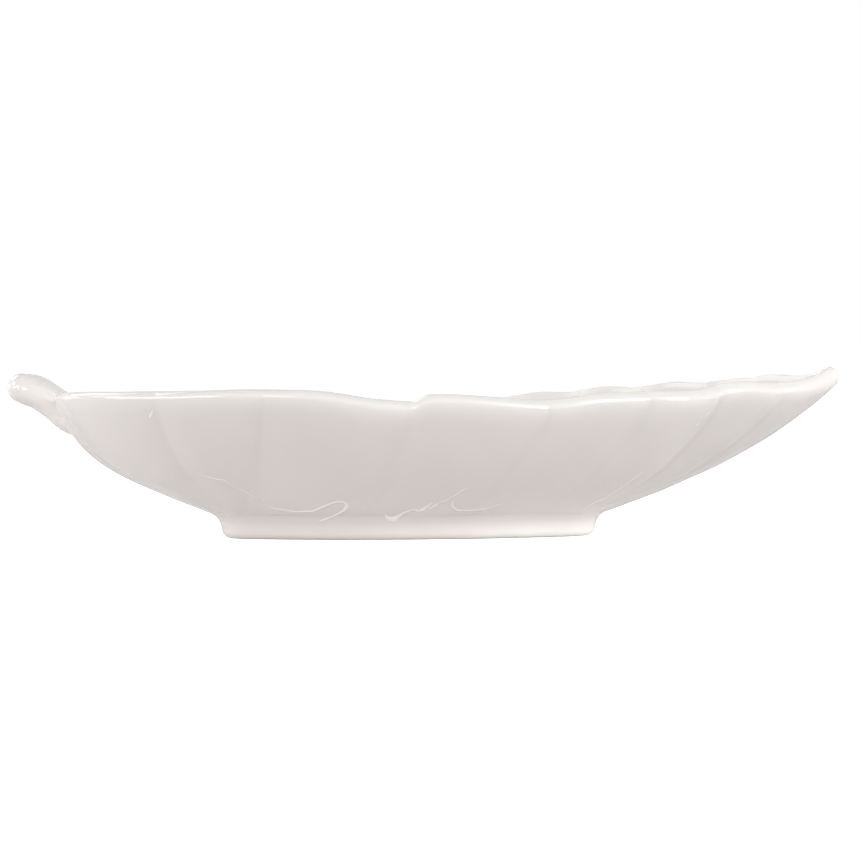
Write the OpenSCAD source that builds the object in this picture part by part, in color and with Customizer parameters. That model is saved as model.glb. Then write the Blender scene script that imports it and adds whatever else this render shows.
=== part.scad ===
// Leaf shaped serving dish in glazed porcelain, standing on an oval foot ring with a stem handle.
// Millimetres. +X points from the stem to the leaf tip, the table is z = 0.

/* [Leaf] */
// Length over all, from the end of the stem to the tip
overall_l = 300; // [240:1:380]
// Length of the leaf from the back of its lobes to the tip
leaf_l = 281.5; // [225:0.5:340]
// Width of the leaf between the margins, before the lobes swell
leaf_w = 154; // [120:1:200]
// Height of the rim over the table along the sides
rim_h = 53; // [42:0.5:70]
// Height of the pointed tip
tip_h = 60.1; // [50:0.1:80]
// Height that the rim rises and dips by from lobe to lobe
rim_wave = 5; // [0:0.1:7]
// Outward swell of a full lobe at the rim
lobe_swell = 2.6; // [0:0.1:4]

/* [Wall] */
// Thickness of the wall at the rim
wall_t = 4; // [3:0.1:6]
// Thickness of the floor over the foot
floor_t = 5; // [3.5:0.1:7]
// Height of the rounded part of the rim
lip_h = 2.6; // [1:0.1:4]
// Width of the midrib inside
rib_w = 5; // [3:0.1:8]
// Height of the midrib and of the side veins inside
rib_h = 1.2; // [0.4:0.1:2.5]

/* [Foot ring] */
// Place of the foot's middle along the leaf, from the middle of the whole length
foot_x = -5.5; // [-12:0.5:2]
// Length of the foot ring where it meets the dish
foot_l = 136.5; // [115:1:150]
// Width of the foot ring where it meets the dish
foot_w = 67; // [56:1:80]
// Height of the foot ring
foot_h = 6; // [4:0.1:9]
// Thickness of the foot ring at the table
foot_t = 6; // [4.5:0.1:8]
// Inward lean of the foot ring's sides from top to bottom
foot_lean = 0.8; // [0.2:0.1:3]
// Rounding of the foot ring's outer edge at the table
foot_round = 2.4; // [0.5:0.1:3]
// Rounding of its inner edge
foot_inner_round = 0.9; // [0.3:0.1:1.2]
// Height of the hollow fillet between the foot and the wall
fillet_h = 1.4; // [0.5:0.1:4]
// Width of the same fillet
fillet_w = 3.4; // [1:0.1:6]

/* [Stem] */
// Thickness of the stem from its middle to the leaf
stem_d = 11.9; // [8:0.1:14]
// Thickness of the stem's rounded end
stem_end_d = 10.6; // [7:0.1:13]
// Height of the middle of the stem's rounded end
stem_end_z = 54.8; // [45:0.1:65]
// Height of the middle of the stem where it joins the leaf
stem_root_z = 44.2; // [36:0.1:52]

/* [Hidden] */
glaze = "#ece8e4";
tip_x = overall_l / 2;
back_x = tip_x - leaf_l;

// Margin of one half leaf from the stem notch to the tip, as shares of its length and half width
margin_shares = [
    [0.016, 0], [0, 0.18], [0.016, 0.44], [0.07, 0.68], [0.165, 0.86], [0.3, 0.975], [0.44, 1],
    [0.59, 0.925], [0.725, 0.745], [0.84, 0.5], [0.92, 0.27], [0.975, 0.095], [1, 0]
];
// Where the side veins reach the margin, as shares of the way from the notch to the tip
near_vein_shares = [0, 0.08, 0.227, 0.342, 0.49, 0.635, 0.7465, 0.834, 0.92, 1];
far_vein_shares = [0, 0.09, 0.228, 0.345, 0.47, 0.593, 0.681, 0.756, 0.835, 1];
// How far each lobe swells, as a share of a full lobe
near_swell_shares = [0.3, 0.5, 0.6, 0.8, 1, 1, 1, 0.8, 0.4];
far_swell_shares = [0.3, 0.5, 0.6, 0.8, 1, 1, 0.9, 0.8, 0.6];
// Columns of the surface across one lobe, as shares of its width
lobe_shares = [0, 0.05, 0.16, 0.32, 0.52, 0.74, 0.93];
// Rim height over its base, as shares of the wave, at shares of the way to the tip
near_rim_shares = [
    [0, -0.5], [0.06, 0], [0.12, 0.2], [0.227, 0.25], [0.342, 0.42], [0.41, 0.22], [0.455, -0.35],
    [0.49, -0.62], [0.525, 0], [0.58, -0.25], [0.635, -0.5], [0.69, -0.1], [0.7465, -0.02],
    [0.815, 0.08], [0.855, 0.52], [0.92, 0.3], [1, 0]
];
far_rim_shares = [
    [0, -0.5], [0.06, -0.3], [0.12, -0.2], [0.228, -0.2], [0.345, -0.3], [0.42, -0.5], [0.47, -0.95],
    [0.51, -0.7], [0.56, -0.95], [0.593, -0.9], [0.625, -0.55], [0.675, -0.45], [0.7, -0.15],
    [0.745, -0.13], [0.79, 0.25], [0.83, 0.28], [0.87, 0.65], [0.905, 0.95],
    [0.935, 0.5], [1, 0]
];
// Share of the way to the tip past which the rim climbs to the tip's height, and how suddenly
climb_share = 0.88;
climb_power = 2.6;
// How much higher the rounded part of the rim is at the tip, as a share of itself, and how suddenly
tip_lip_share = 0.9;
tip_lip_power = 3;
// How suddenly a lobe's swell grows towards the rim
swell_power = 1.2;
// Wall along the middle line for each millimetre of it at the sides
tip_gain = 1.1;
// Rounding between the floor and the wall inside, as a share of the wall's run
soft_share = 0.05;
// Course of a vein: share of the way to the tip, share of the half turn round the foot where it
// crosses the foot, and share of the half foot length where it leaves the midrib
vein_course_shares = [
    [0, 1, -0.94], [0.34, 0.66, -0.8], [0.49, 0.56, -0.54], [0.635, 0.455, -0.18],
    [0.7465, 0.37, 0.15], [0.834, 0.2, 0.6], [1, 0, 0.86]
];
// Wall profile: share of the way to the tip, share of the climb that is straight, the power of the rest,
// and how far the rim's outer edge lies under its inner edge, as a share of the wall
profile_shares = [
    [0, 0.6, 7, 0.3], [0.25, 0.58, 4, 0.4], [0.5, 0.56, 3, 0.6], [0.75, 0.6, 3, 0.75],
    [0.93, 0.63, 3, 0.8], [1, 0.65, 3, 0.5]
];

// Slope of a curve through values vs at the places ks, at its point number i
function bend(vs, ks, i) =
    i == 0 ? (vs[1] - vs[0]) / (ks[1] - ks[0]) :
    i == len(vs) - 1 ? (vs[i] - vs[i - 1]) / (ks[i] - ks[i - 1]) :
    let (a = ks[i] - ks[i - 1], b = ks[i + 1] - ks[i])
    ((vs[i] - vs[i - 1]) * b / a + (vs[i + 1] - vs[i]) * a / b) / (a + b);
function span(ks, t, i = 0) = i >= len(ks) - 2 || t < ks[i + 1] ? i : span(ks, t, i + 1);
// Smooth curve through the values vs at the places ks, read at t
function curve(vs, ks, t) =
    let (i = span(ks, t), h = ks[i + 1] - ks[i], u = (t - ks[i]) / h)
    vs[i] * (1 + 2 * u) * pow(1 - u, 2) + bend(vs, ks, i) * h * u * pow(1 - u, 2)
    + vs[i + 1] * (3 - 2 * u) * u * u - bend(vs, ks, i + 1) * h * u * u * (1 - u);
// The same for a table whose rows start with their place
function table(rows, t) =
    let (n = len(rows[0]), vs = [for (r = rows) [for (c = [1 : n - 1]) r[c]]])
    curve(vs, [for (r = rows) r[0]], t);

function total(v, n) = n <= 0 ? 0 : v[n - 1] + total(v, n - 1);
margin = [for (p = margin_shares) [back_x + leaf_l * p[0], leaf_w / 2 * p[1]]];
chords = [for (i = [1 : len(margin) - 1]) norm(margin[i] - margin[i - 1])];
margin_places = [for (i = [0 : len(chords)]) total(chords, i) / total(chords, len(chords))];

// Four-arc oval of the foot: half length, half width, and the angle where the arcs meet
foot_a = foot_l / 2;
foot_b = foot_w / 2;
foot_meet = 60;
arc_gap = (foot_a - foot_b) / (cos(foot_meet) + sin(foot_meet) - 1);
end_r = foot_a - arc_gap * cos(foot_meet);
side_r = end_r + arc_gap;
end_c = arc_gap * cos(foot_meet);
side_c = arc_gap * sin(foot_meet);
function foot_at(turn, inset) =
    turn < foot_meet ? [foot_x + end_c + (end_r - inset) * cos(turn), (end_r - inset) * sin(turn)] :
    turn > 180 - foot_meet ? [foot_x - end_c + (end_r - inset) * cos(turn), (end_r - inset) * sin(turn)] :
    [foot_x + (side_r - inset) * cos(turn), (side_r - inset) * sin(turn) - side_c];

// Swell of a lobe across its width: steep on the stem side, easing off towards the tip
function swell(f) = sin(180 * pow(f, 0.6));
// One column: side (-1 near, 1 far), place along the margin, swell and vein relief
function columns(side, veins, sizes) = [
    for (j = [0 : len(veins) - 2], f = lobe_shares)
        [side, veins[j] + (veins[j + 1] - veins[j]) * f, sizes[j] * swell(f), f == 0 ? 1 : 0]
];
near_columns = columns(-1, near_vein_shares, near_swell_shares);
far_columns = columns(1, far_vein_shares, far_swell_shares);
half = len(near_columns);
ring = concat(near_columns, [[-1, 1, 0, 1]], [for (i = [half - 1 : -1 : 1]) far_columns[i]]);

// Share of the way that a column lies past the start of the climb
function late(c) = max(0, c[1] - climb_share) / (1 - climb_share);
function rim_z(c) =
    rim_h + rim_wave * table(c[0] < 0 ? near_rim_shares : far_rim_shares, c[1])[0]
    + (tip_h - rim_h) * pow(late(c), climb_power);
// Height of the rim's rounded part, depth of its outer edge under its inner edge, and inner edge's height
function lip_rise(c) = lip_h * (1 + tip_lip_share * pow(late(c), tip_lip_power));
function rim_lean(c) = wall_t * table(profile_shares, c[1])[2];
function rim_base(c) = rim_z(c) + rim_lean(c) / 2 - norm([lip_rise(c), rim_lean(c) / 2]);
// Plan points of a column on the midrib, at the foot and at the rim
function rib_at(c) =
    let (v = table(vein_course_shares, c[1]))
    [foot_x + foot_a * v[1], c[0] * rib_w / 2 * sqrt(sin(180 * min(c[1], 1)))];
function foot_line(c, inset) =
    let (p = foot_at(180 * table(vein_course_shares, c[1])[0], inset))
    [p[0], c[0] * p[1]];
function margin_at(c, inset) =
    let (p = curve(margin, margin_places, c[1]))
    [p[0] * (1 - inset * tip_gain / tip_x), c[0] * p[1] * (1 - inset / (leaf_w / 2))];
// Outward direction of the margin in plan
function outward(c) =
    let (step = 0.004, a = margin_at([c[0], max(c[1] - step, 0), 0], 0),
        b = margin_at([c[0], min(c[1] + step, 1), 0], 0), d = b - a)
    [-d[1], d[0]] * c[0] / norm(d);

function climb(c, w) = let (p = table(profile_shares, c[1])) p[0] * w + (1 - p[0]) * pow(w, p[1]);
function ease(w) = (norm([w, soft_share]) - soft_share) / (norm([1, soft_share]) - soft_share);
function up(p, z) = [p[0], p[1], z];
function mix(a, b, w) = a + (b - a) * w;

// Point of the outside at share w of the way from the foot to the rim
function outside(c, w) =
    let (a = foot_line(c, 0), b = margin_at(c, 0), run = norm(b - a) * w,
        rise = fillet_h * (1 - pow(1 - min(run / fillet_w, 1), 3)))
    up(mix(a, b, w) + outward(c) * lobe_swell * c[2] * pow(w, swell_power),
        foot_h + rise + (rim_base(c) - rim_lean(c) - foot_h - fillet_h) * climb(c, w));
// Point of the inside at share w
function inside(c, w) =
    let (a = foot_line(c, floor_t), b = margin_at(c, wall_t), z = foot_h + floor_t)
    up(mix(a, b, w) + outward(c) * lobe_swell * c[2] * pow(w, swell_power),
        z + (rim_base(c) - z) * climb(c, ease(w)) + rib_h * c[3] * (1 - pow(w, 3)));
// Point of the rounded rim at an angle from 0 outside to 180 inside
function lip(c, turn) =
    let (a = outside(c, 1), b = inside(c, 1), m = (a + b) / 2)
    m + (a - b) / 2 * cos(turn) + [0, 0, lip_rise(c) * sin(turn)];
// Point of the floor inside at share w of the way from the foot line to the midrib
function on_floor(c, w) =
    up(mix(foot_line(c, floor_t), rib_at(c), w), foot_h + floor_t + rib_h * max(c[3], w == 1 ? 1 : 0));

// Rings of the wall from foot to rim, and of the floor from the wall to the midrib
wall_shares = [0.02, 0.05, 0.12, 0.22, 0.34, 0.46, 0.58, 0.69, 0.79, 0.88, 0.95, 1];
floor_shares = [0, 0.35, 0.7, 0.9, 1];
outer_rings = concat(
    [[for (c = ring) up(rib_at(c), foot_h)], [for (c = ring) up(foot_line(c, 0), foot_h)]],
    [for (w = wall_shares) [for (c = ring) outside(c, w)]]
);
lip_rings = [for (turn = [36 : 36 : 144]) [for (c = ring) lip(c, turn)]];
inner_rings = concat(
    [for (i = [len(wall_shares) - 1 : -1 : 1]) [for (c = ring) inside(c, wall_shares[i])]],
    [for (w = floor_shares) [for (c = ring) on_floor(c, w)]]
);

// Closed solid from rings of points that run round the same way, its first and last ring filled across
module skin(rings) {
    n = len(rings[0]);
    last = (len(rings) - 1) * n;
    sides = [
        for (j = [0 : len(rings) - 2], i = [0 : n - 1])
            let (a = j * n + i, b = j * n + (i + 1) % n)
            each [[a, a + n, b], [b, a + n, b + n]]
    ];
    ends = [
        for (i = [0 : n / 2 - 1])
            let (a = i, b = i + 1, c = (n - i) % n, d = n - i - 1)
            each [
                if (i > 0) [a, b, c],
                if (i < n / 2 - 1 || i == 0) [b, d, c],
                if (i > 0) [a + last, c + last, b + last],
                if (i < n / 2 - 1 || i == 0) [b + last, c + last, d + last]
            ]
    ];
    polyhedron(points = [for (r = rings) each r], faces = concat(sides, ends), convexity = 10);
}

// The leaf with its hollow filled and carried up past the rim, which the stem is cut to fit
module filled_leaf() {
    rise = [0, 0, stem_d];
    skin(concat(outer_rings, [for (turn = [36, 90]) [for (c = ring) lip(c, turn)]],
        [[for (c = ring) lip(c, 90) + rise]]));
}

module leaf_shell() {
    color(glaze) skin(concat(outer_rings, lip_rings, inner_rings));
}

// Point of an edge rounded by r about x, standing on the table
function edge_point(x, r, turn) = [x + r * cos(turn), r * (1 - sin(turn))];
// Section of the foot ring on an arc of radius r: flat at the table, with rounded edges
module foot_section(r) {
    outer = r - foot_lean - foot_round;
    inner = r - foot_lean - foot_t + foot_inner_round;
    polygon(concat(
        [[r, foot_h]],
        [for (turn = [0 : 15 : 90]) edge_point(outer, foot_round, turn)],
        [for (turn = [90 : 15 : 180]) edge_point(inner, foot_inner_round, turn)],
        [[r - 2 * foot_lean - foot_t, foot_h]]
    ));
}

module turned_foot(x, y, r) {
    translate([x, y, 0]) rotate_extrude($fn = 180) foot_section(r);
}

// Space past an end centre of the oval, where the ring follows its end arc: 1 at the tip, -1 at the stem
module end_wedge(end) {
    linear_extrude(foot_h) polygon([
        [end * end_c, 0],
        [end * (end_c + foot_l), foot_l * tan(foot_meet)],
        [end * (end_c + foot_l), -foot_l * tan(foot_meet)]
    ]);
}

module foot_end(end) {
    intersection() {
        turned_foot(end * end_c, 0, end_r);
        end_wedge(end);
    }
}

// Long side of the ring: 1 far, -1 near
module foot_side(side) {
    intersection() {
        turned_foot(0, -side * side_c, side_r);
        difference() {
            translate([-foot_l, side > 0 ? 0 : -foot_l, 0]) cube([2 * foot_l, foot_l, foot_h]);
            end_wedge(1);
            end_wedge(-1);
        }
    }
}

module foot_ring() {
    color(glaze) translate([foot_x, 0, 0]) union() {
        foot_end(1);
        foot_end(-1);
        foot_side(1);
        foot_side(-1);
    }
}

// How much the stem's root flares, and the share of the stem past which it does
flare_share = 0.2;
flare_start_share = 0.7;
// Share of the stem over which its end grows to the full thickness
full_share = 0.25;
// Middle line of the stem from its end (0) to the notch of the leaf (1) and past it:
// place, share of the reach, share of the drop
stem_course_shares = [[0, 0, 1], [0.33, 0.33, 0.83], [0.67, 0.67, 0.45], [1, 1, 0], [1.5, 1.8, -0.35]];
stem_start = [-tip_x + stem_end_d / 2, stem_root_z];
stem_reach = [margin[0][0] - stem_start[0], stem_end_z - stem_root_z];
function stem_at(s) =
    let (p = table(stem_course_shares, s))
    [stem_start[0] + stem_reach[0] * p[0], 0, stem_start[1] + stem_reach[1] * p[1]];
function stem_r(s) =
    mix(stem_end_d, stem_d, sin(90 * min(1, s / full_share))) / 2
    + stem_d * flare_share * pow(max(0, s - flare_start_share), 2);
// Ring round the stem at s, drawn in and moved back by the angle of a ball end
function stem_ring(s, ball = 90) =
    let (step = 0.01, d = stem_at(s + step) - stem_at(max(0, s - step)), t = d / norm(d),
        v = [0, 1, 0], u = cross(v, t), r = stem_r(s), middle = stem_at(s) - t * r * cos(ball))
    [for (turn = [0 : 22.5 : 359]) middle + (u * cos(turn) + v * sin(turn)) * r * sin(ball)];

module stem_handle() {
    color(glaze) difference() {
        skin(concat(
            [for (ball = [10, 25, 42, 60, 76]) stem_ring(0, ball)],
            [for (s = [0 : 0.125 : 1.5]) stem_ring(s)]
        ));
        filled_leaf();
    }
}

leaf_shell();
foot_ring();
stem_handle();
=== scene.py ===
import math
import bpy
import numpy as np
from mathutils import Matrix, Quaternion, Vector
from mathutils.bvhtree import BVHTree


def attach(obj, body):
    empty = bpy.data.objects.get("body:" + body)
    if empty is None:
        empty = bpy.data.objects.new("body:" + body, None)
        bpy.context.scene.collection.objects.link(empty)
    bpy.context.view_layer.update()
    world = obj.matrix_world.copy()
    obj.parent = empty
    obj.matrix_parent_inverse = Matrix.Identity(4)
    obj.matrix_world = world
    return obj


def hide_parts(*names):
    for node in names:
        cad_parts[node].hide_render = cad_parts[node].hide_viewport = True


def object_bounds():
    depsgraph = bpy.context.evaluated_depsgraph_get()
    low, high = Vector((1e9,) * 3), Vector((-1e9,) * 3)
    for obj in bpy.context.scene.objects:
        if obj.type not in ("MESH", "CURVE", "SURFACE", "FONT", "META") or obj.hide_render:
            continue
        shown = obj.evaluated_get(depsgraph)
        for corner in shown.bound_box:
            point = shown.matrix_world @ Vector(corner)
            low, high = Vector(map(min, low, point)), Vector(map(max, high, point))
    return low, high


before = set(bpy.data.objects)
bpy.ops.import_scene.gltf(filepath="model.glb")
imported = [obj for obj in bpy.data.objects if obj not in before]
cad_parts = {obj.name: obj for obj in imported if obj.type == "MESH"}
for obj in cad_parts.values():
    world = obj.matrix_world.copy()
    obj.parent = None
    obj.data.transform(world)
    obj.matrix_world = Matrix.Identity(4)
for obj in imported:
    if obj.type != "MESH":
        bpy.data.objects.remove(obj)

# Leaf shaped porcelain dish, dressed over its CAD part.
# Sizes are in millimetres until a mesh is written.
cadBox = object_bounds()
mm = 0.001


# Smooth curve through rows of values at their places, read at the places t
def smoothCurve(rows, t):
    rows = np.asarray(rows, float)
    places, values = rows[:, 0], rows[:, 1:]
    gaps = np.diff(places)[:, None]
    rates = np.diff(values, axis=0) / gaps
    middle = (rates[:-1] * gaps[1:] + rates[1:] * gaps[:-1]) / (gaps[:-1] + gaps[1:])
    slopes = np.vstack([rates[:1], middle, rates[-1:]])
    t = np.asarray(t, float)
    i = np.clip(np.searchsorted(places, t, side="right") - 1, 0, len(places) - 2)
    h = gaps[i]
    u = (t - places[i])[..., None] / h
    return (values[i] * (1 + 2 * u) * (1 - u) ** 2 + slopes[i] * h * u * (1 - u) ** 2
            + values[i + 1] * (3 - 2 * u) * u * u - slopes[i + 1] * h * u * u * (1 - u))


def mix(a, b, w):
    return a + (b - a) * w


# The oval foot ring that the leaf stands on
foot = {
    "middle": -5.5, "length": 136.5, "width": 67, "height": 6, "thick": 6, "lean": 0.8, "meet": 60,
    "outerRound": 3.2, "innerRound": 0.9, "filletHeight": 1.4, "filletWidth": 3.4, "innerFillet": 1.5,
    "innerLean": 0.8,
    # the hollow up to the wall: its reach, its lowest point, its lead, and how deep its edges sit
    "softReach": 3.2, "softFoot": 3.4, "softLead": 0.6, "sunk": 0.04, "tucked": 0.1,
    # points of the section and of the ring
    "outerPoints": 9, "innerPoints": 6, "filletPoints": 7, "flatPoints": 6, "softRows": 14, "turns": 300,
    # painted highlight on the foot: where it starts, how soon it is strongest, its least and most, and
    # its run to the tip
    "footHighlightTop": 6.5, "footHighlightDepth": 4.5, "footHighlightLeast": 0.1, "footHighlightMost": 0.8, "footHighlightRun": 50,
    "mapSize": (330, 25),
}


# The foot's outline is an oval of four arcs, as on the CAD part
def footOval():
    a, b, meet = foot["length"] / 2, foot["width"] / 2, math.radians(foot["meet"])
    gap = (a - b) / (math.cos(meet) + math.sin(meet) - 1)
    endRadius = a - gap * math.cos(meet)
    return endRadius, endRadius + gap, gap * math.cos(meet), gap * math.sin(meet)


# Points of that outline at the angles turn of its first half, drawn in by inset
def footAt(turn, inset):
    endRadius, sideRadius, endX, sideY = footOval()
    atTip, atStem = turn < foot["meet"], turn > 180 - foot["meet"]
    radius = np.where(atTip | atStem, endRadius, sideRadius) - inset
    angle = np.radians(turn)
    x = foot["middle"] + np.where(atTip, endX, np.where(atStem, -endX, 0)) + radius * np.cos(angle)
    return x, radius * np.sin(angle) - np.where(atTip | atStem, 0, sideY)


# The leaf: its main sizes, and its margin, veins, lobes and rim as shares of them
leaf = {
    "overall": 300, "length": 281.5, "width": 154, "rimHeight": 53, "tipHeight": 60.1, "rimWave": 5,
    "lobeSwell": 2.6, "swellStart": 0.6, "swellPower": 1.2, "wall": 4, "floor": 5, "lip": 2.6,
    "ribWidth": 8, "ribHeight": 1.2, "ribFrom": -75, "ribTo": 68,
    # the last width on the line below is that of the painted shade along the side veins
    "veinWidth": 1.5, "veinHeight": 1.1, "veinFade": 2.5, "creaseShadeWidth": 4,
    "tipGain": 1.1, "softShare": 0.05, "creaseShare": 0.04, "creaseCrowd": 0.45, "footCrowd": 1.25,
    "climbShare": 0.88, "climbPower": 2.6, "tipLipGain": 0.9, "tipLipPower": 3,
    # height of the unevenness, how fast it starts over the foot and ends under the rim, share inside
    "waviness": 0.2, "footEase": 6, "rimEase": 12, "insideWaviness": 0.8,
    # painted highlight on the rim: how far under the rim it reaches, its share at the notch, and the
    # gain towards the tip
    "rimHighlightReach": 6, "rimHighlightAtNotch": 0.15, "rimHighlightGain": 1.6,
    # size of the texture map round the rim and down the section
    "mapSize": (680, 260),
    # the margin in plan: share of the length, share of half the width
    "margin": [[0.016, 0], [0, 0.18], [0.016, 0.44], [0.07, 0.68], [0.165, 0.86], [0.3, 0.975],
               [0.44, 1], [0.59, 0.925], [0.725, 0.745], [0.84, 0.5], [0.92, 0.27], [0.975, 0.095],
               [1, 0]],
    # where the side veins meet the margin, and how much each lobe between them swells
    "nearVeins": [0, 0.08, 0.227, 0.342, 0.49, 0.635, 0.7465, 0.834, 0.92, 1],
    "farVeins": [0, 0.09, 0.228, 0.345, 0.47, 0.593, 0.681, 0.756, 0.835, 1],
    "nearSwells": [0.3, 0.5, 0.6, 0.8, 1, 1, 1, 0.8, 0.4],
    "farSwells": [0.3, 0.5, 0.6, 0.8, 1, 1, 0.9, 0.8, 0.6],
    # place, height over the rim's own as a share of rimWave
    "nearRim": [[0, -0.5], [0.06, 0], [0.12, 0.2], [0.227, 0.25], [0.342, 0.42], [0.41, 0.22],
                [0.45, -0.24], [0.472, -0.39], [0.496, -0.41], [0.508, -0.04], [0.525, 0],
                [0.58, -0.25], [0.635, -0.5], [0.69, -0.1], [0.7465, -0.02], [0.815, 0.08],
                [0.855, 0.52], [0.92, 0.3], [1, 0]],
    "farRim": [[0, -0.5], [0.06, -0.3], [0.12, -0.2], [0.228, -0.2], [0.345, -0.3], [0.42, -0.65],
               [0.447, -1.02], [0.47, -1.25], [0.495, -1.2], [0.51, -0.95], [0.56, -1], [0.593, -0.9],
               [0.625, -0.55], [0.675, -0.45], [0.7, -0.15], [0.745, -0.15], [0.79, 0.25], [0.83, 0.22],
               [0.872, 0.53], [0.892, 0.6], [0.912, 0.78], [0.932, 0.66], [0.953, 0.36], [1, 0]],
    # place, how far under the lip the outside starts to roll over
    "rimRoll": [[0, 5], [0.3, 4], [0.5, 5.5], [0.62, 7], [0.85, 7], [0.95, 2.5], [1, 0.6]],
    # place, share of the half turn round the foot, share of the half foot along the midrib
    "veinCourse": [[0, 1, -0.94], [0.34, 0.66, -0.8], [0.49, 0.56, -0.54], [0.635, 0.455, -0.18],
                   [0.7465, 0.37, 0.15], [0.834, 0.2, 0.6], [1, 0, 0.86]],
    # place, straight share of the climb, power of the rest, lean of the rim as a share of the wall
    "profile": [[0, 0.6, 7, 0.3], [0.25, 0.58, 4, 0.4], [0.5, 0.56, 3, 0.6], [0.75, 0.6, 3, 0.75],
                [0.93, 0.63, 3, 0.8], [1, 0.65, 3, 0.5]],
    "lobeColumns": 22, "wallRows": 52, "lipRows": 14, "floorRows": 22, "baseRows": 10,
}


# All columns of the leaf's surface: the near half from the notch to the tip, then the far half back
class LeafColumns:
    def __init__(self):
        n = leaf["lobeColumns"]
        even = np.arange(n) / n
        # closer together at the creases
        f = even - leaf["creaseCrowd"] * np.sin(2 * np.pi * even) / (2 * np.pi)
        soft = leaf["creaseShare"]
        rise = np.sin(np.pi * (np.hypot(f, soft) - soft) ** leaf["swellStart"])
        rise[0] = 0
        halves = []
        for side in ("near", "far"):
            veins, sizes = leaf[side + "Veins"], leaf[side + "Swells"]
            t = [veins[j] + (veins[j + 1] - veins[j]) * f for j in range(len(sizes))]
            swell = [size * rise for size in sizes]
            halves.append((np.append(np.concatenate(t), 1), np.append(np.concatenate(swell), 0)))
        count = len(halves[0][0])
        back = np.arange(count - 2, -1, -1)
        self.side = np.concatenate([-np.ones(count), np.ones(count - 1)])
        self.t = np.concatenate([halves[0][0], halves[1][0][back]])
        self.swell = np.concatenate([halves[0][1], halves[1][1][back]])
        share = (halves[0][0] + halves[1][0]) / 2
        self.shared = np.concatenate([share, share[back]])   # the same on both sides, for the midrib
        self.isVein = np.concatenate([np.arange(count) % n == 0, back % n == 0])
        self.prepare()

    # What depends on the place along the margin: its line, the profile, the rim and the veins
    def prepare(self):
        t, side = self.t, self.side
        tip = leaf["overall"] / 2
        rows = np.array(leaf["margin"])
        marginX = tip - leaf["length"] + leaf["length"] * rows[:, 0]
        points = np.stack([marginX, leaf["width"] / 2 * rows[:, 1]], 1)
        places = np.append(0, np.cumsum(np.linalg.norm(np.diff(points, axis=0), axis=1)))
        self.marginRows = np.column_stack([places / places[-1], points])
        step = 0.004
        a = self.marginAt(np.maximum(t - step, 0), 0)
        b = self.marginAt(np.minimum(t + step, 1), 0)
        d = b - a
        across = np.stack([-d[:, 1], d[:, 0]], 1) * side[:, None]
        self.outward = across / np.linalg.norm(d, axis=1)[:, None]
        profile = smoothCurve(leaf["profile"], t)
        self.straight, self.power, self.lean = profile[:, 0], profile[:, 1], leaf["wall"] * profile[:, 2]
        nearWave, farWave = (smoothCurve(leaf[name], t)[:, 0] for name in ("nearRim", "farRim"))
        wave = np.where(side < 0, nearWave, farWave)
        late = np.maximum(t - leaf["climbShare"], 0) / (1 - leaf["climbShare"])
        rim = leaf["rimHeight"] + leaf["rimWave"] * wave
        self.rim = rim + (leaf["tipHeight"] - leaf["rimHeight"]) * late ** leaf["climbPower"]
        self.lip = leaf["lip"] * (1 + leaf["tipLipGain"] * late ** leaf["tipLipPower"])
        self.rimBase = self.rim + self.lean / 2 - np.hypot(self.lip, self.lean / 2)
        self.course = smoothCurve(leaf["veinCourse"], t)

    def marginAt(self, t, inset):
        p = smoothCurve(self.marginRows, t)
        x = p[:, 0] * (1 - inset * leaf["tipGain"] / (leaf["overall"] / 2))
        return np.stack([x, self.side * p[:, 1] * (1 - inset / (leaf["width"] / 2))], 1)

    def footLine(self, inset):
        x, y = footAt(180 * self.course[:, 0], inset)
        return np.stack([x, self.side * y], 1)

    def climb(self, w):
        return self.straight * w + (1 - self.straight) * w ** self.power

    # How far a row at share w of the way up is pushed out by the lobes
    def swelling(self, w):
        return self.outward * (leaf["lobeSwell"] * self.swell * w ** leaf["swellPower"])[:, None]

    # One row of the outside wall at share w of the way from the foot to the rim
    def outside(self, w):
        a, b = self.footLine(0), self.marginAt(self.t, 0)
        run = np.linalg.norm(b - a, axis=1) * w
        rise = foot["filletHeight"] * (1 - (1 - np.minimum(run / foot["filletWidth"], 1)) ** 3)
        plan = mix(a, b, w) + self.swelling(w)
        low = foot["height"] + foot["filletHeight"]
        z = foot["height"] + rise + (self.rimBase - self.lean - low) * self.climb(w)
        return np.column_stack([plan, z])

    # One row of the inside wall
    def inside(self, w):
        soft = leaf["softShare"]
        eased = (math.hypot(w, soft) - soft) / (math.hypot(1, soft) - soft)
        plan = mix(self.footLine(leaf["floor"]), self.marginAt(self.t, leaf["wall"]), w)
        plan = plan + self.swelling(w)
        low = foot["height"] + leaf["floor"]
        return np.column_stack([plan, low + (self.rimBase - low) * self.climb(eased)])

    # One row of the rounded lip, from 0 outside to 180 degrees inside
    def lipRow(self, turn):
        a, b = self.outside(1), self.inside(1)
        row = (a + b) / 2 + (a - b) / 2 * math.cos(turn)
        row[:, 2] += self.lip * math.sin(turn)
        return row

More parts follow.
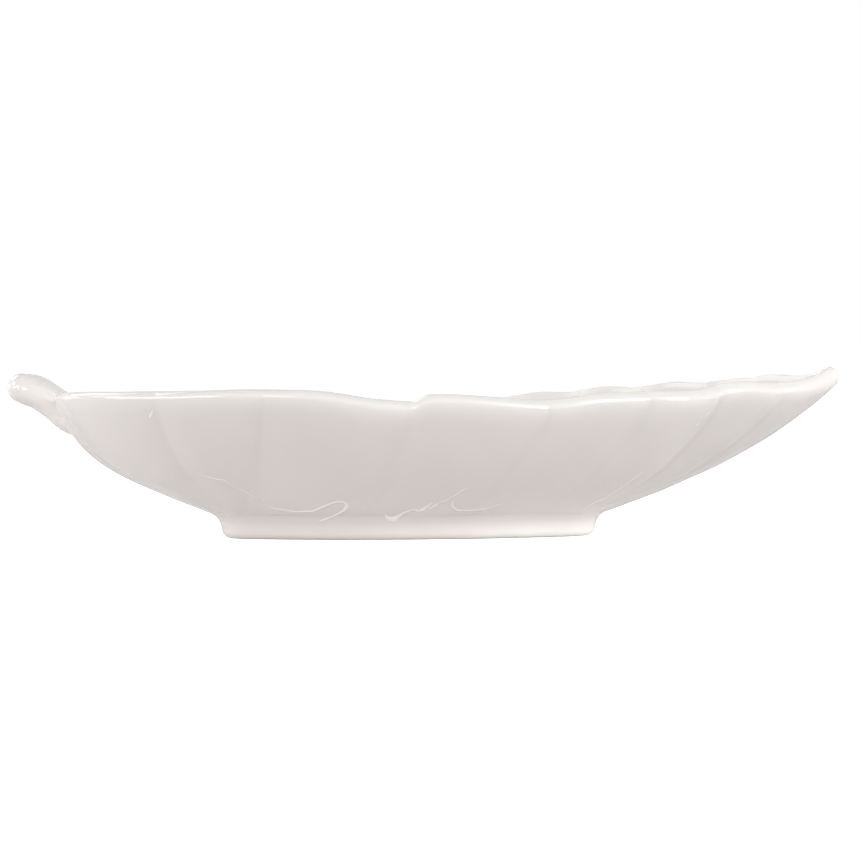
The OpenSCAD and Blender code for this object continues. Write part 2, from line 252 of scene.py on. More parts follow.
    # Rolls the outside wall over into the lip, so that no corner is left under the rim
    def rollRim(self, p, edgeRow, crestRow):
        reach = smoothCurve(leaf["rimRoll"], self.t)[:, 0]
        for j in range(p.shape[1]):
            line = p[:crestRow + 1, j]
            along = np.append(0, np.cumsum(np.linalg.norm(np.diff(line, axis=0), axis=1)))
            start = along[edgeRow] - reach[j]
            first = np.array([np.interp(start, along, line[:, k]) for k in range(3)])
            edge, top = line[edgeRow].copy(), line[crestRow].copy()
            corner = edge + [0, 0, self.lip[j]]
            half = (edge + corner) / 2
            moved = along > start
            share = (along[moved] - start) / (along[-1] - start)
            middle = (reach[j] + self.lip[j] / 2) / (along[-1] - start)
            a = np.clip(share / middle, 0, 1)[:, None]
            b = np.clip((share - middle) / (1 - middle), 0, 1)[:, None]
            under = first * (1 - a) ** 2 + edge * 2 * a * (1 - a) + half * a ** 2
            over = half * (1 - b) ** 2 + corner * 2 * b * (1 - b) + top * b ** 2
            line[moved] = np.where(b > 0, over, under)

    # One row of a level surface between the foot line and the middle of the leaf
    def level(self, inset, z, w):
        middle = smoothCurve(leaf["veinCourse"], self.shared)[:, 1]
        centreX = foot["middle"] + foot["length"] / 2 * middle
        centre = np.column_stack([centreX, np.zeros(len(middle))])
        return np.column_stack([mix(self.footLine(inset), centre, w), np.full(len(middle), z)])


# Outward normals of a sheet of points whose columns run round and close
def sheetNormals(p):
    across = np.roll(p, -1, 1) - np.roll(p, 1, 1)
    along = np.gradient(p, axis=0)
    n = np.cross(across, along)
    return n / np.maximum(np.linalg.norm(n, axis=2, keepdims=True), 1e-9)


# Slow unevenness that the hand finish and the kiln leave, in shares of its height
def unevenness(p):
    x, y, z = p[..., 0], p[..., 1], p[..., 2]
    return (np.sin(x / 5.1 + 0.9 * np.sin(y / 7.3) + 1.3) * np.sin(z / 4.3 + y / 9.7 + 0.4)
            + 0.7 * np.sin(x / 8.7 - z / 5.9 + 2.1) * np.cos(y / 6.1 + z / 11.0)) / 1.7


def deselectAll():
    if bpy.context.object and bpy.context.object.mode != "OBJECT":
        bpy.ops.object.mode_set(mode="OBJECT")
    bpy.ops.object.select_all(action="DESELECT")


# Adds a grid, lays its points on a sheet of rows and columns, and sews where the sheet meets itself
def sheetPiece(name, points, attributes, spans):
    rows, columns = points.shape[:2]
    deselectAll()
    bpy.ops.mesh.primitive_grid_add(x_subdivisions=columns - 1, y_subdivisions=rows - 1, size=1)
    piece = bpy.context.object
    piece.name = name
    piece.data.name = name
    mesh = piece.data
    start = np.zeros(len(mesh.vertices) * 3)
    mesh.vertices.foreach_get("co", start)
    start = start.reshape(-1, 3)
    column = np.rint((start[:, 0] + 0.5) * (columns - 1)).astype(int)
    row = np.rint((start[:, 1] + 0.5) * (rows - 1)).astype(int)
    mesh.vertices.foreach_set("co", (points[row, column] * mm).ravel())
    corner = np.zeros(len(mesh.loops), int)
    mesh.loops.foreach_get("vertex_index", corner)
    share = np.stack([column[corner] / (columns - 1), row[corner] / (rows - 1)], 1)
    mesh.uv_layers.active.name = "surface"
    mesh.uv_layers.active.data.foreach_set("uv", (share * spans * mm).ravel())
    for label, values in attributes.items():
        layer = mesh.attributes.new(label, "FLOAT", "POINT")
        layer.data.foreach_set("value", values[row, column])
    bpy.ops.object.mode_set(mode="EDIT")
    bpy.ops.mesh.select_all(action="SELECT")
    bpy.ops.mesh.remove_doubles(threshold=1e-6)
    bpy.ops.mesh.normals_make_consistent(inside=False)
    bpy.ops.object.mode_set(mode="OBJECT")
    bpy.ops.object.shade_smooth()
    return piece


# Keeps points inside the CAD part's box
def insideBox(p):
    low, high = (np.array(corner) / mm for corner in cadBox)
    return np.clip(p, low, high)


# The leaf: underside, outside wall, lip, inside wall and floor, as one closed sheet
def makeLeaf():
    c = LeafColumns()
    baseShares = np.linspace(1, 0, leaf["baseRows"] + 1)[:-1]
    wallShares = np.linspace(0, 1, leaf["wallRows"] + 1) ** leaf["footCrowd"]
    turns = np.linspace(0, np.pi, leaf["lipRows"] + 1)[1:-1]
    floorShares = np.linspace(0, 1, leaf["floorRows"] + 1)[1:]
    bottom, top = foot["height"], foot["height"] + leaf["floor"]
    rows = [c.level(0, bottom, w) for w in baseShares]
    rows += [c.outside(w) for w in wallShares]
    rows += [c.lipRow(turn) for turn in turns]
    rows += [c.inside(w) for w in wallShares[::-1]]
    rows += [c.level(leaf["floor"], top, w) for w in floorShares]
    p = np.array(rows)
    firstWall = len(baseShares)
    lastWall = firstWall + len(wallShares) - 1
    firstInside = lastWall + 1 + len(turns)
    c.rollRim(p, lastWall, lastWall + leaf["lipRows"] // 2)

    # share of the way up the outside and the inside wall, by row
    outer = np.zeros(len(rows))
    outer[firstWall:lastWall + 1] = wallShares
    inner = np.zeros(len(rows))
    inner[firstInside:firstInside + len(wallShares)] = wallShares[::-1]
    isInside = np.arange(len(rows)) >= firstInside

    # distance along each row to the nearest side vein
    steps = np.linalg.norm(np.diff(p, axis=1), axis=2)
    along = np.concatenate([np.zeros((len(rows), 1)), np.cumsum(steps, 1)], 1)
    veinAlong = along[:, c.isVein]
    away = np.min(np.abs(along[:, :, None] - veinAlong[:, None, :]), 2)
    vein = np.exp(-(away / leaf["veinWidth"]) ** 2)
    fade = np.where(isInside, 1 - inner ** leaf["veinFade"], 0)[:, None]
    rib = np.cos(np.clip(np.abs(p[..., 1]) / (leaf["ribWidth"] / 2), 0, 1) * np.pi / 2) ** 2
    onFloor = isInside[:, None] & (p[..., 0] > leaf["ribFrom"]) & (p[..., 0] < leaf["ribTo"])
    relief = np.maximum(leaf["veinHeight"] * vein * fade, np.where(onFloor, leaf["ribHeight"] * rib, 0))

    # halfway up the near side's wall the normals have to face the front
    normal = sheetNormals(p)
    if normal[(firstWall + lastWall) // 2, len(c.t) // 4, 1] > 0:
        normal = -normal

    # uneven on both walls, and true at the foot and the rim
    calm = np.clip(outer * leaf["footEase"], 0, 1) * np.clip((1 - outer) * leaf["rimEase"], 0, 1)
    calm = calm + np.where(isInside, leaf["insideWaviness"] * (1 - inner), 0)
    offset = relief + leaf["waviness"] * unevenness(p) * calm[:, None]
    p = p + normal * offset[..., None]
    p[:, -1] = p[:, 0]
    p = insideBox(p)

    # painted shade: a darker tone along the side veins, where the creases take the shade
    creaseShade = np.exp(-(away / leaf["creaseShadeWidth"]) ** 2) * np.clip(outer + inner, 0, 1)[:, None]
    # painted highlight: a lighter tone over the rim, where the light falls, more so towards the tip
    underRim = np.maximum(c.rim[None, :] - p[..., 2], 0)
    most = np.clip(leaf["rimHighlightAtNotch"] + leaf["rimHighlightGain"] * c.t, 0, 1)
    rimHighlight = np.exp(-(underRim / leaf["rimHighlightReach"]) ** 2) * most
    piece = sheetPiece("leafShell", p, {"creaseShade": creaseShade, "rim": rimHighlight}, leaf["mapSize"])
    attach(piece, "root")
    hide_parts("leaf_shell")
    return piece


# The foot ring: its rounded section swept round the oval, blended into the wall above it
def makeFoot(shell):
    height, lean, thick = foot["height"], foot["lean"], foot["thick"]
    outerRound, innerRound, fillet = foot["outerRound"], foot["innerRound"], foot["innerFillet"]
    # inset from the oval, height over the table
    section = [(lean + outerRound - outerRound * math.cos(a), outerRound * (1 - math.sin(a)))
               for a in np.linspace(0, math.pi / 2, foot["outerPoints"])]
    insideEdge = lean + thick
    section += [(insideEdge - innerRound - innerRound * math.cos(a), innerRound * (1 - math.sin(a)))
                for a in np.linspace(math.pi / 2, math.pi, foot["innerPoints"])]
    filletInset, filletZ = insideEdge + lean * foot["innerLean"], height - fillet
    section += [(filletInset + fillet * (1 - math.cos(a)), filletZ + fillet * math.sin(a))
                for a in np.linspace(0, math.pi / 2, foot["filletPoints"])]
    section += [(inset, height) for inset in np.linspace(section[-1][0], 0, foot["flatPoints"])[1:]]
    angle = np.linspace(0, 360, foot["turns"] + 1)
    half = np.where(angle <= 180, angle, 360 - angle)
    side = np.where(angle <= 180, 1, -1)
    tree = BVHTree.FromObject(shell, bpy.context.evaluated_depsgraph_get())

    def ringAt(inset, z):
        x, y = footAt(half, inset)
        return np.column_stack([x, side * y, z + np.zeros(len(x))])

    # height of the wall over the ring's points drawn out by reach
    def wallOver(reach):
        hits = [tree.ray_cast(Vector(q * mm), Vector((0, 0, 1)))[0] for q in ringAt(-reach, 0)]
        return np.array([hit.z / mm for hit in hits]) + foot["sunk"]

    # a soft hollow curve from the wall to the foot's side, through one guide point
    reach, foothold, lead = foot["softReach"], foot["softFoot"], foot["softLead"]
    top, beyond = wallOver(reach), wallOver(reach + lead)
    guide = top - (beyond - top) / lead * reach
    sideInset = lean * (height - foothold) / (height - outerRound)
    # the first row lies inside the wall, so that the joint is smooth
    rows = [ringAt(-reach - lead, beyond + foot["tucked"])]
    for w in np.linspace(0, 1, foot["softRows"] + 1):
        inset = -reach * (1 - w) ** 2 + sideInset * w ** 2
        rows.append(ringAt(inset, top * (1 - w) ** 2 + guide * 2 * w * (1 - w) + foothold * w ** 2))
    rows += [ringAt(inset, z) for inset, z in section]
    rows.append(ringAt(0, top))   # closes inside the floor of the leaf
    rows.append(rows[0])
    p = np.array(rows)
    p[:, -1] = p[:, 0]

    # painted highlight: a lighter tone low on the foot, more so towards the tip, where the light falls
    low = np.clip((foot["footHighlightTop"] - p[..., 2]) / foot["footHighlightDepth"], 0, 1)
    least, most = foot["footHighlightLeast"], foot["footHighlightMost"]
    attributes = {"creaseShade": np.zeros(p.shape[:2]),
                  "rim": low * np.clip(least + p[..., 0] / foot["footHighlightRun"], least, most)}
    piece = sheetPiece("footRing", p, attributes, foot["mapSize"])
    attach(piece, "root")
    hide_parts("foot_ring")
    return piece


# The stem that is its handle
stem = {
    "thick": 11.9, "endThick": 10.6, "endHeight": 54.8, "rootHeight": 44.2, "flare": 0.05, "full": 0.25,
    # the last entry on the line below is the share of the painted highlight that lightens the whole stem
    "flareStart": 0.7, "rootFillet": 0.6, "filletShare": 0.22, "sunk": 0.04, "stemHighlight": 0.5,
    "sides": 56, "rings": 60, "ringCrowd": 0.8, "ballRings": 14, "mapSize": (35, 40),
    # first and last share, and the count, of the places where the leaf is looked for
    "search": (0.4, 1.5, 90),
    # place, share of the reach, share of the drop
    "course": [[0, 0, 1], [0.33, 0.33, 0.83], [0.67, 0.67, 0.45], [1, 1, 0], [1.5, 1.8, -0.35]],
}


# A swept rod with a rounded end, which stops a hair inside the wall of the leaf
def makeStem(shell):
    tip, start = leaf["overall"] / 2, stem["endThick"] / 2
    startX = -tip + start
    notchX = tip - leaf["length"] + leaf["length"] * leaf["margin"][0][0]
    reach, drop = notchX - startX, stem["endHeight"] - stem["rootHeight"]

    def middle(s):
        share = smoothCurve(stem["course"], np.atleast_1d(s))[0]
        return np.array([startX + reach * share[0], 0, stem["rootHeight"] + drop * share[1]])

    # point of the stem's line at one angle, thickened by grow
    def onStem(s, angle, ball=math.pi / 2, grow=0):
        step = 0.01
        way = middle(s + step) - middle(max(0, s - step))
        way = way / np.linalg.norm(way)
        late = max(0, s - stem["flareStart"])
        grown = math.sin(math.pi / 2 * min(1, s / stem["full"]))
        r = mix(stem["endThick"], stem["thick"], grown) / 2 + stem["thick"] * stem["flare"] * late ** 2
        out = math.cos(angle) * np.cross([0, 1, 0], way) + math.sin(angle) * np.array([0, 1, 0])
        return middle(s) - way * r * math.cos(ball) + out * (r + grow) * math.sin(ball)

    # share of the stem at which a line first meets the leaf
    tree = BVHTree.FromObject(shell, bpy.context.evaluated_depsgraph_get())

    def meeting(line):
        shares = np.linspace(*stem["search"])
        points = [Vector(line(s) * mm) for s in shares]
        for i in range(len(shares) - 1):
            step = points[i + 1] - points[i]
            hit = tree.ray_cast(points[i], step.normalized(), step.length)
            if hit[0] is not None:
                return mix(shares[i], shares[i + 1], hit[3] / step.length)
        return shares[-1]

    angles = np.linspace(0, 2 * np.pi, stem["sides"] + 1)
    ends = []
    for angle in angles:
        plain = meeting(lambda s: onStem(s, angle))

        def grown(s, plain=plain):   # a small fillet where it was stuck to the leaf
            return stem["rootFillet"] * min(1, max(0, 1 - (plain - s) / stem["filletShare"])) ** 3
        ends.append((meeting(lambda s: onStem(s, angle, grow=grown(s))), grown))
    balls = np.linspace(0, math.pi / 2, stem["ballRings"] + 1)[:-1]
    rows = [[onStem(0, angle, ball) for angle in angles] for ball in balls]
    for q in np.linspace(0, 1, stem["rings"]) ** stem["ringCrowd"]:
        rows.append([onStem(q * end, angle, grow=grown(q * end))
                     for angle, (end, grown) in zip(angles, ends)])
    rows.append([onStem(end + stem["sunk"], angle, grow=grown(end))
                 for angle, (end, grown) in zip(angles, ends)])
    centre = np.mean(rows[-1][:-1], 0)
    rows.append(mix(np.array(rows[-1]), centre, 0.5))
    rows.append([centre] * len(angles))
    p = np.array(rows)
    p[:, -1] = p[:, 0]
    p = insideBox(p)
    # painted highlight: the whole stem is lightened, as the light falls on it
    attributes = {"creaseShade": np.zeros(p.shape[:2]), "rim": np.full(p.shape[:2], stem["stemHighlight"])}
    piece = sheetPiece("stemHandle", p, attributes, stem["mapSize"])
    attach(piece, "root")
    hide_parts("stem_handle")
    return piece


# Fine runs of glaze that froze low on the near side
glazeRuns = {
    "width": 1.4, "height": 0.24, "sunk": 0.05, "rootDepth": 0.3, "spacing": 0.35, "across": 10,
    "taper": 3, "endWidth": 0.4, "endPower": 0.7, "unevenness": 0.15, "rayStart": -200, "mapWidth": 4,
    # across and up, as seen from the front, and the width as a share
    "lines": [
        [(-80.6, 25, 0.5), (-76.4, 23.5, 0.6), (-72.9, 22.6, 0.8), (-70.4, 22.2, 0.8),
         (-69, 21.1, 0.8), (-67.3, 19.6, 0.8), (-64.2, 18.3, 0.8), (-60.7, 16.2, 0.8),
         (-57.6, 13.9, 0.8), (-55.5, 12.6, 0.9), (-53, 11.6, 1), (-49.4, 11.1, 1.2),
         (-46.2, 10.5, 1.3), (-42.3, 10.5, 1.5), (-38.8, 10.9, 1.5), (-36.5, 11.9, 1.3),
         (-33.9, 13.1, 1.3), (-31.8, 13.9, 1.4), (-29.6, 14.2, 1.6), (-27.9, 13.9, 1.7),
         (-27, 12.9, 1.7), (-27.8, 11.3, 1.6), (-29.4, 10.2, 1.3), (-31.4, 9.1, 1.1),
         (-33.8, 8.1, 1), (-36, 7.3, 0.9), (-37.8, 6.7, 0.7)],
        [(-13.9, 9.6, 1.2), (-13, 8.4, 2), (-11.2, 7.4, 2.4), (-9.3, 8.4, 1.9), (-6.9, 10, 1.2),
         (-5.2, 10.6, 1), (-3.4, 11.2, 1), (-2, 10.6, 1.7), (-0.5, 10.9, 2), (0.9, 11.9, 1.6),
         (2.3, 13, 1.1), (3.6, 14.2, 0.8)],
        [(0.5, 11.3, 1), (2.3, 11.5, 1.3), (4.1, 12.5, 1.2), (5.5, 13.6, 1), (7.7, 14.3, 0.9),
         (9.8, 15.4, 0.8), (12.3, 17.1, 0.8), (14.4, 18.6, 0.7), (16.2, 19.4, 0.5)],
        [(11.2, 15.2, 0.6), (10.3, 13.7, 0.9), (10.5, 12, 1), (12.1, 10.8, 1.1), (14.4, 10.6, 1),
         (17.3, 10.6, 1), (20.1, 10.9, 0.9), (22.6, 11.2, 0.8), (25.1, 12.1, 0.7),
         (27.2, 12.7, 0.6), (29, 13.4, 0.5)],
        [(57.3, 10.3, 0.6), (59.6, 11.6, 1), (62.1, 12.9, 1.2), (65.3, 14.3, 1.1), (67.8, 16, 1),
         (71, 18.2, 1), (74.2, 20.5, 1), (77.4, 22.9, 0.9), (79.5, 24.7, 0.6)],
        [(-95.2, 47.8, 0.5), (-95.5, 46.8, 0.9), (-96, 45.7, 1.2), (-96.6, 44.8, 0.7)],
        [(96.5, 39.3, 0.8), (97.6, 40.5, 0.9), (98.7, 41.4, 0.6)],
        [(100.1, 43, 0.6), (101.4, 44.3, 1), (102.5, 45.1, 0.8)],
    ],
}


# Each run is a low rounded bead that follows the wall and thins out at its ends
def makeGlazeRuns(pieces):
    trees = [BVHTree.FromObject(piece, bpy.context.evaluated_depsgraph_get()) for piece in pieces]

    # the first surface met from the front at x and z
    def onSurface(x, z):
        start = Vector((x * mm, glazeRuns["rayStart"] * mm, z * mm))
        hits = [tree.ray_cast(start, Vector((0, 1, 0))) for tree in trees]
        return min([hit for hit in hits if hit[0] is not None], key=lambda hit: hit[0].y)

    beads = []
    for line in glazeRuns["lines"]:
        points = np.array(line, float)
        places = np.append(0, np.cumsum(np.linalg.norm(np.diff(points[:, :2], axis=0), axis=1)))
        length = places[-1]
        s = np.linspace(0, length, max(8, int(length / glazeRuns["spacing"])))
        route = smoothCurve(np.column_stack([places, points]), s)
        hits = [onSurface(x, z) for x, z, _ in route]
        on = np.array([hit[0] for hit in hits]) / mm
        up = np.array([hit[1] for hit in hits])
        along = np.gradient(on, axis=0)
        along /= np.linalg.norm(along, axis=1)[:, None]
        across = np.cross(along, up)
        uneven = glazeRuns["unevenness"] * np.sin(s * 2.1 + len(beads)) * np.sin(s * 0.9 + 1)
        full = route[:, 2] * (1 + uneven)
        taper = min(glazeRuns["taper"], length / 3)
        thin = np.clip(np.minimum(s, length - s) / taper, 0, 1) ** glazeRuns["endPower"]
        narrow = glazeRuns["endWidth"]
        half = glazeRuns["width"] / 2 * full * (narrow + (1 - narrow) * thin)
        tall = glazeRuns["height"] * (1 + full) / 2 * thin
        rows = []
        for share in np.linspace(-1, 1, glazeRuns["across"] + 1):
            rise = tall * math.cos(share * math.pi / 2) ** 2 - glazeRuns["sunk"]
            rows.append(on + across * (half * share)[:, None] + up * rise[:, None])
        for share in (0.5, 0, -0.5):
            rows.append(on + across * (half * share)[:, None] - up * glazeRuns["rootDepth"])
        rows.append(rows[0])
        p = np.array(rows).transpose(1, 0, 2)
        ends = [np.repeat(p[k].mean(0)[None], p.shape[1], 0) for k in (0, -1)]
        p = np.concatenate([ends[0][None], p, ends[1][None]])
        # painted highlight: the runs take the full lighter tone, which stands in for their glints
        attributes = {"creaseShade": np.zeros(p.shape[:2]), "rim": np.ones(p.shape[:2])}
        beads.append(sheetPiece("glazeRuns", p, attributes, (glazeRuns["mapWidth"], length)))
    deselectAll()
    for bead in beads:
        bead.select_set(True)
    bpy.context.view_layer.objects.active = beads[0]
    bpy.ops.object.join()
    piece = bpy.context.object
    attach(piece, "root")
    return piece


# sRGB hex to the linear colour that a socket takes
def colour(text):
    parts = [int(text[i:i + 2], 16) / 255 for i in (1, 3, 5)]
    return [p / 12.92 if p <= 0.04045 else ((p + 0.055) / 1.055) ** 2.4 for p in parts] + [1]


# Adds one node, sets its fields and sockets, and links its inputs
def addNode(tree, kind, fields=None, sockets=None, links=None):
    node = tree.nodes.new(kind)
    for key, value in (fields or {}).items():
        setattr(node, key, value)
    for key, value in (sockets or {}).items():
        node.inputs[key].default_value = value
    for key, output in (links or {}).items():
        tree.links.new(output, node.inputs[key])
    return node


def newMaterial(name):
    material = bpy.data.materials.new(name)
    material.use_nodes = True
    material.node_tree.nodes.clear()
    return material, material.node_tree


# Glazed hard porcelain: a dense warm white body under a clear glossy glaze that keeps the faint waves
# and streaks of the firing; painted shade darkens it along the side veins, and a painted highlight
# lightens the lip, the stem, the low foot and the glaze runs
glaze = {
    # the second colour is the painted shade along the side veins, the third the painted highlight
    "body": "#e8e2e0", "creaseShadeColour": "#e3ddda", "thin": "#fbf8f5", "bareClay": "#e6e1da",
    "cloudShare": 0.5, "creaseShadeShare": 0.5, "highlightShare": 0.9,
    "roughness": 0.12, "leastRough": 0.8, "mostRough": 1.3, "ior": 1.5, "coat": 0.5,
    "coatRoughness": 0.05, "scatter": 0.12, "scatterReach": 1.5, "scatterRadii": (1, 0.9, 0.8),
    # sizes, lengths and heights in millimetres
    "cloudSize": 45, "waveSize": 14, "waveHeight": 0.05, "streakSize": 3.6, "streakLength": 60,
    "streakHeight": 0.06, "dullSize": 8,
    # the wiped edge: wholly bare up to the first height, glazed from the second
    "bareUpTo": 0.4, "glazedFrom": 0.8, "gritSize": 0.8, "gritHeight": 0.6, "bareRoughness": 0.62,
}


def glazeMaterial(name, footBare):
    material, tree = newMaterial(name)
    place = addNode(tree, "ShaderNodeTexCoord").outputs["Object"]
    uv = addNode(tree, "ShaderNodeUVMap", {"uv_map": "surface"}).outputs["UV"]
    creaseShade = addNode(tree, "ShaderNodeAttribute", {"attribute_name": "creaseShade"}).outputs["Fac"]
    # the rim attribute carries the painted highlight
    rim = addNode(tree, "ShaderNodeAttribute", {"attribute_name": "rim"}).outputs["Fac"]

    # noise whose spots are size millimetres across
    def noise(size, detail):
        scale = {"Scale": 1000 / size, "Detail": detail}
        return addNode(tree, "ShaderNodeTexNoise", {}, scale, {"Vector": place})

    # colour: painted shade makes it greyer along the side veins, and a painted highlight makes it
    # lighter over the lip, the stem, the low foot and the glaze runs
    cloud = noise(glaze["cloudSize"], 2)
    # painted shade: darker along the side veins
    creaseShaded = addNode(tree, "ShaderNodeMath", {"operation": "MULTIPLY"}, {1: glaze["creaseShadeShare"]},
                     {0: creaseShade})
    cloudsAndCreaseShade = addNode(tree, "ShaderNodeMath", {"operation": "MULTIPLY_ADD"}, {1: glaze["cloudShare"]},
                     {0: cloud.outputs["Fac"], 2: creaseShaded.outputs[0]})
    base = addNode(tree, "ShaderNodeMix", {"data_type": "RGBA"},
                   {6: colour(glaze["body"]), 7: colour(glaze["creaseShadeColour"])}, {0: cloudsAndCreaseShade.outputs[0]})
    # painted highlight: the lighter colour, mixed in as far as the rim attribute asks
    thin = addNode(tree, "ShaderNodeMath", {"operation": "MULTIPLY"}, {1: glaze["highlightShare"]}, {0: rim})
    tint = addNode(tree, "ShaderNodeMix", {"data_type": "RGBA"}, {7: colour(glaze["thin"])},
                   {0: thin.outputs[0], 6: base.outputs[2]})

    # relief: slow waves of the glaze, and fine streaks that follow the lobes
    wave = noise(glaze["waveSize"], 1)
    waves = addNode(tree, "ShaderNodeBump", {}, {"Distance": glaze["waveHeight"] * mm, "Strength": 1},
                    {"Height": wave.outputs["Fac"]})
    streakScale = (1000 / glaze["streakSize"], 1000 / glaze["streakLength"], 1)
    stretch = addNode(tree, "ShaderNodeMapping", {}, {"Scale": streakScale}, {"Vector": uv})
    streak = addNode(tree, "ShaderNodeTexNoise", {}, {"Scale": 1, "Detail": 1},
                     {"Vector": stretch.outputs[0]})
    streaks = addNode(tree, "ShaderNodeBump", {},
                      {"Distance": glaze["streakHeight"] * mm, "Strength": 1},
                      {"Height": streak.outputs["Fac"], "Normal": waves.outputs[0]})

    # roughness: nearly even, in faintly duller and shinier patches
    dull = noise(glaze["dullSize"], 3)
    rough = addNode(tree, "ShaderNodeMapRange", {},
                    {"To Min": glaze["roughness"] * glaze["leastRough"],
                     "To Max": glaze["roughness"] * glaze["mostRough"]},
                    {"Value": dull.outputs["Fac"]})
    shader = addNode(tree, "ShaderNodeBsdfPrincipled", {}, {
        "IOR": glaze["ior"], "Coat Weight": 0 if footBare else glaze["coat"],
        "Coat Roughness": glaze["coatRoughness"], "Coat IOR": glaze["ior"],
        "Subsurface Weight": glaze["scatter"], "Subsurface Radius": glaze["scatterRadii"],
        "Subsurface Scale": glaze["scatterReach"] * mm,
    }, {"Base Color": tint.outputs[2], "Roughness": rough.outputs[0], "Normal": streaks.outputs[0]})
    addNode(tree, "ShaderNodeOutputMaterial", {}, {}, {"Surface": shader.outputs[0]})

    if footBare:   # the bearing edge is wiped clean of glaze, and shows the matt, faintly greyer body
        z = addNode(tree, "ShaderNodeSeparateXYZ", {}, {}, {0: place}).outputs["Z"]
        grit = noise(glaze["gritSize"], 2)
        edge = addNode(tree, "ShaderNodeMath", {"operation": "MULTIPLY_ADD"},
                       {1: glaze["gritHeight"] * mm}, {0: grit.outputs["Fac"], 2: z})
        bare = addNode(tree, "ShaderNodeMapRange", {},
                       {"From Min": glaze["glazedFrom"] * mm, "From Max": glaze["bareUpTo"] * mm},
                       {"Value": edge.outputs[0]})
        clay = addNode(tree, "ShaderNodeMix", {"data_type": "RGBA"}, {7: colour(glaze["bareClay"])},
                       {0: bare.outputs[0], 6: tint.outputs[2]})
        matt = addNode(tree, "ShaderNodeMix", {"data_type": "FLOAT"}, {3: glaze["bareRoughness"]},
                       {0: bare.outputs[0], 2: rough.outputs[0]})
        tree.links.new(clay.outputs[2], shader.inputs["Base Color"])
        tree.links.new(matt.outputs[0], shader.inputs["Roughness"])
    return material


# Plain pale studio: a floor that shows white but keeps the shadow, a white surround and soft lamps
studio = {
    "floorSize": 8, "floorColour": "#ecebea", "floorWhite": 0.92, "floorMirrored": 0.3,
    "surround": 0.1, "surroundColour": "#fffdfb", "aim": (0, 0, 0.03),
    "lamps": [
        # name, place, width, height, power
        ("backSoftbox", (-1.1, 0.9, 1.3), 1, 1, 7),
        ("frontSoftbox", (1.2, -1.3, 1.2), 1, 1, 4.5),
        ("frontFill", (-1.2, -1.6, 0.35), 0.8, 0.5, 8.4),
        ("leftPanel", (-1.5, -0.8, 0.2), 0.8, 0.36, 7.8),
        ("leftSoftbox", (-1.6, -0.3, 0.85), 1, 0.8, 5),
        ("rightSoftbox", (1.6, -1, 0.6), 1, 0.8, 24.5),
        ("backLeftPanel", (-1.5, 0.8, 0.2), 0.8, 0.36, 3.5),
        ("backRightPanel", (1.5, 0.8, 0.2), 0.8, 0.36, 5),
    ],
}


def makeFloor():
    deselectAll()
    bpy.ops.mesh.primitive_plane_add(size=studio["floorSize"], location=(0, 0, 0))
    floor = bpy.context.object
    floor.name = "studioFloor"
    material, tree = newMaterial("paintedStudioFloor")
    matt = addNode(tree, "ShaderNodeBsdfDiffuse", {}, {"Color": colour(studio["floorColour"])})
    path = addNode(tree, "ShaderNodeLightPath")
    seen = addNode(tree, "ShaderNodeMath", {"operation": "MULTIPLY"}, {1: studio["floorWhite"]},
                   {0: path.outputs["Is Camera Ray"]})
    mirrored = addNode(tree, "ShaderNodeMath", {"operation": "MAXIMUM"}, {},
                       {0: path.outputs["Is Glossy Ray"], 1: path.outputs["Is Transmission Ray"]})
    glow = addNode(tree, "ShaderNodeMath", {"operation": "MULTIPLY_ADD"}, {1: studio["floorMirrored"]},
                   {0: mirrored.outputs[0], 2: seen.outputs[0]})
    white = addNode(tree, "ShaderNodeEmission", {}, {"Color": (1, 1, 1, 1)},
                    {"Strength": glow.outputs[0]})
    both = addNode(tree, "ShaderNodeAddShader", {}, {}, {0: matt.outputs[0], 1: white.outputs[0]})
    addNode(tree, "ShaderNodeOutputMaterial", {}, {}, {"Surface": both.outputs[0]})
    floor.data.materials.append(material)


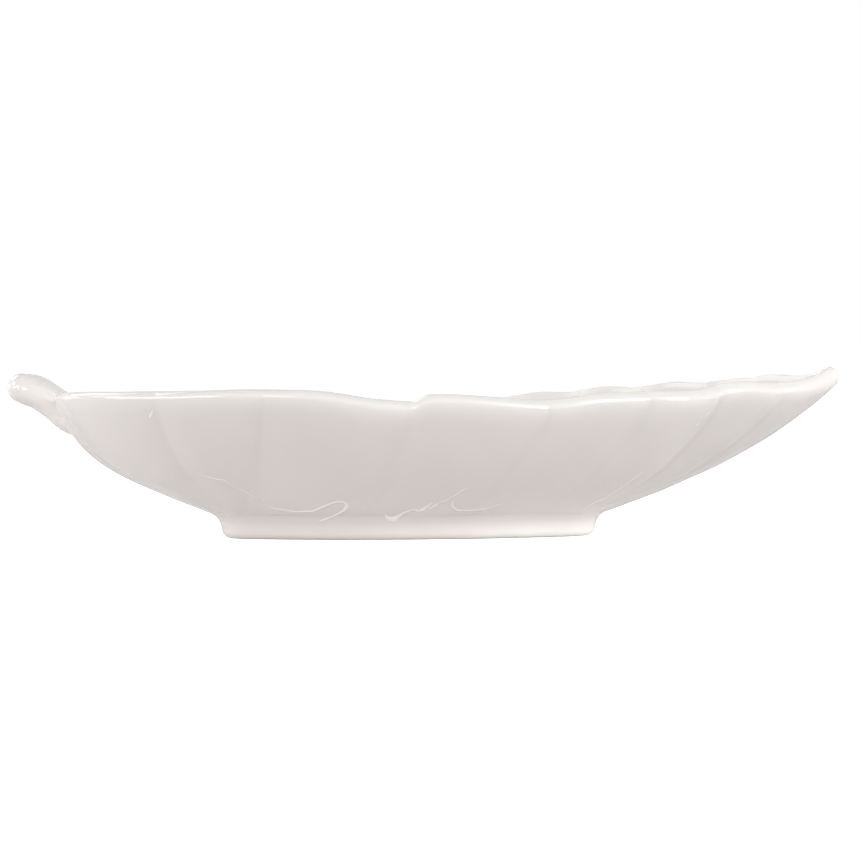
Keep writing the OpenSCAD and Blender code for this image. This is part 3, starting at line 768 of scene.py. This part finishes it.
def makeSurround():
    world = bpy.data.worlds.new("studioSurround")
    bpy.context.scene.world = world
    world.use_nodes = True
    tree = world.node_tree
    tree.nodes.clear()
    path = addNode(tree, "ShaderNodeLightPath")
    seen = addNode(tree, "ShaderNodeMath", {"operation": "MAXIMUM"}, {},
                   {0: path.outputs["Is Camera Ray"], 1: path.outputs["Is Transmission Ray"]})
    mirrored = addNode(tree, "ShaderNodeMath", {"operation": "MAXIMUM"}, {},
                       {0: seen.outputs[0], 1: path.outputs["Is Glossy Ray"]})
    soft = addNode(tree, "ShaderNodeBackground", {},
                   {"Color": colour(studio["surroundColour"]), "Strength": studio["surround"]})
    white = addNode(tree, "ShaderNodeBackground", {}, {"Color": (1, 1, 1, 1), "Strength": 1})
    both = addNode(tree, "ShaderNodeMixShader", {}, {},
                   {0: mirrored.outputs[0], 1: soft.outputs[0], 2: white.outputs[0]})
    addNode(tree, "ShaderNodeOutputWorld", {}, {}, {"Surface": both.outputs[0]})


def makeLamps():
    for name, place, width, height, power in studio["lamps"]:
        deselectAll()
        bpy.ops.object.light_add(type="AREA", location=place)
        lamp = bpy.context.object
        lamp.name = name
        towards = Vector(studio["aim"]) - Vector(place)
        lamp.rotation_euler = towards.to_track_quat("-Z", "Y").to_euler()
        lamp.data.shape = "RECTANGLE"
        lamp.data.size = width
        lamp.data.size_y = height
        lamp.data.energy = power
        lamp.visible_camera = False


# Camera a little over the rim's height, square to the dish's length
view = {
    "place": (0.0029, -2.5, 0.105), "target": (0.0029, 0, 0.038), "roll": -0.467,
    "lens": 289, "sensor": 36, "farEnd": 50,
}


def makeCamera():
    deselectAll()
    bpy.ops.object.camera_add(location=view["place"])
    camera = bpy.context.object
    camera.name = "photoCamera"
    look = (Vector(view["target"]) - Vector(view["place"])).to_track_quat("-Z", "Y")
    camera.rotation_mode = "QUATERNION"
    camera.rotation_quaternion = look @ Quaternion((0, 0, 1), math.radians(view["roll"]))
    camera.data.sensor_width = view["sensor"]
    camera.data.lens = view["lens"]
    camera.data.clip_end = view["farEnd"]
    bpy.context.scene.camera = camera


print("leaf")
leafShell = makeLeaf()
print("foot ring")
footRing = makeFoot(leafShell)
print("stem")
stemHandle = makeStem(leafShell)
print("glaze runs")
glazeRunsPiece = makeGlazeRuns((leafShell, footRing))
print("materials")
glazed = glazeMaterial("glazedPorcelain", False)
glazedFoot = glazeMaterial("glazedPorcelainBareFoot", True)
for piece, material in ((leafShell, glazed), (stemHandle, glazed), (glazeRunsPiece, glazed),
                        (footRing, glazedFoot)):
    piece.data.materials.clear()
    piece.data.materials.append(material)
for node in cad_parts.values():
    node.data.materials.clear()
    node.data.materials.append(glazed)
print("studio")
makeFloor()
makeSurround()
makeLamps()
makeCamera()
bpy.context.scene.view_settings.view_transform = "Standard"
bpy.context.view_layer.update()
for piece in (leafShell, footRing, stemHandle, glazeRunsPiece):
    print(piece.name, len(piece.data.vertices), "points")
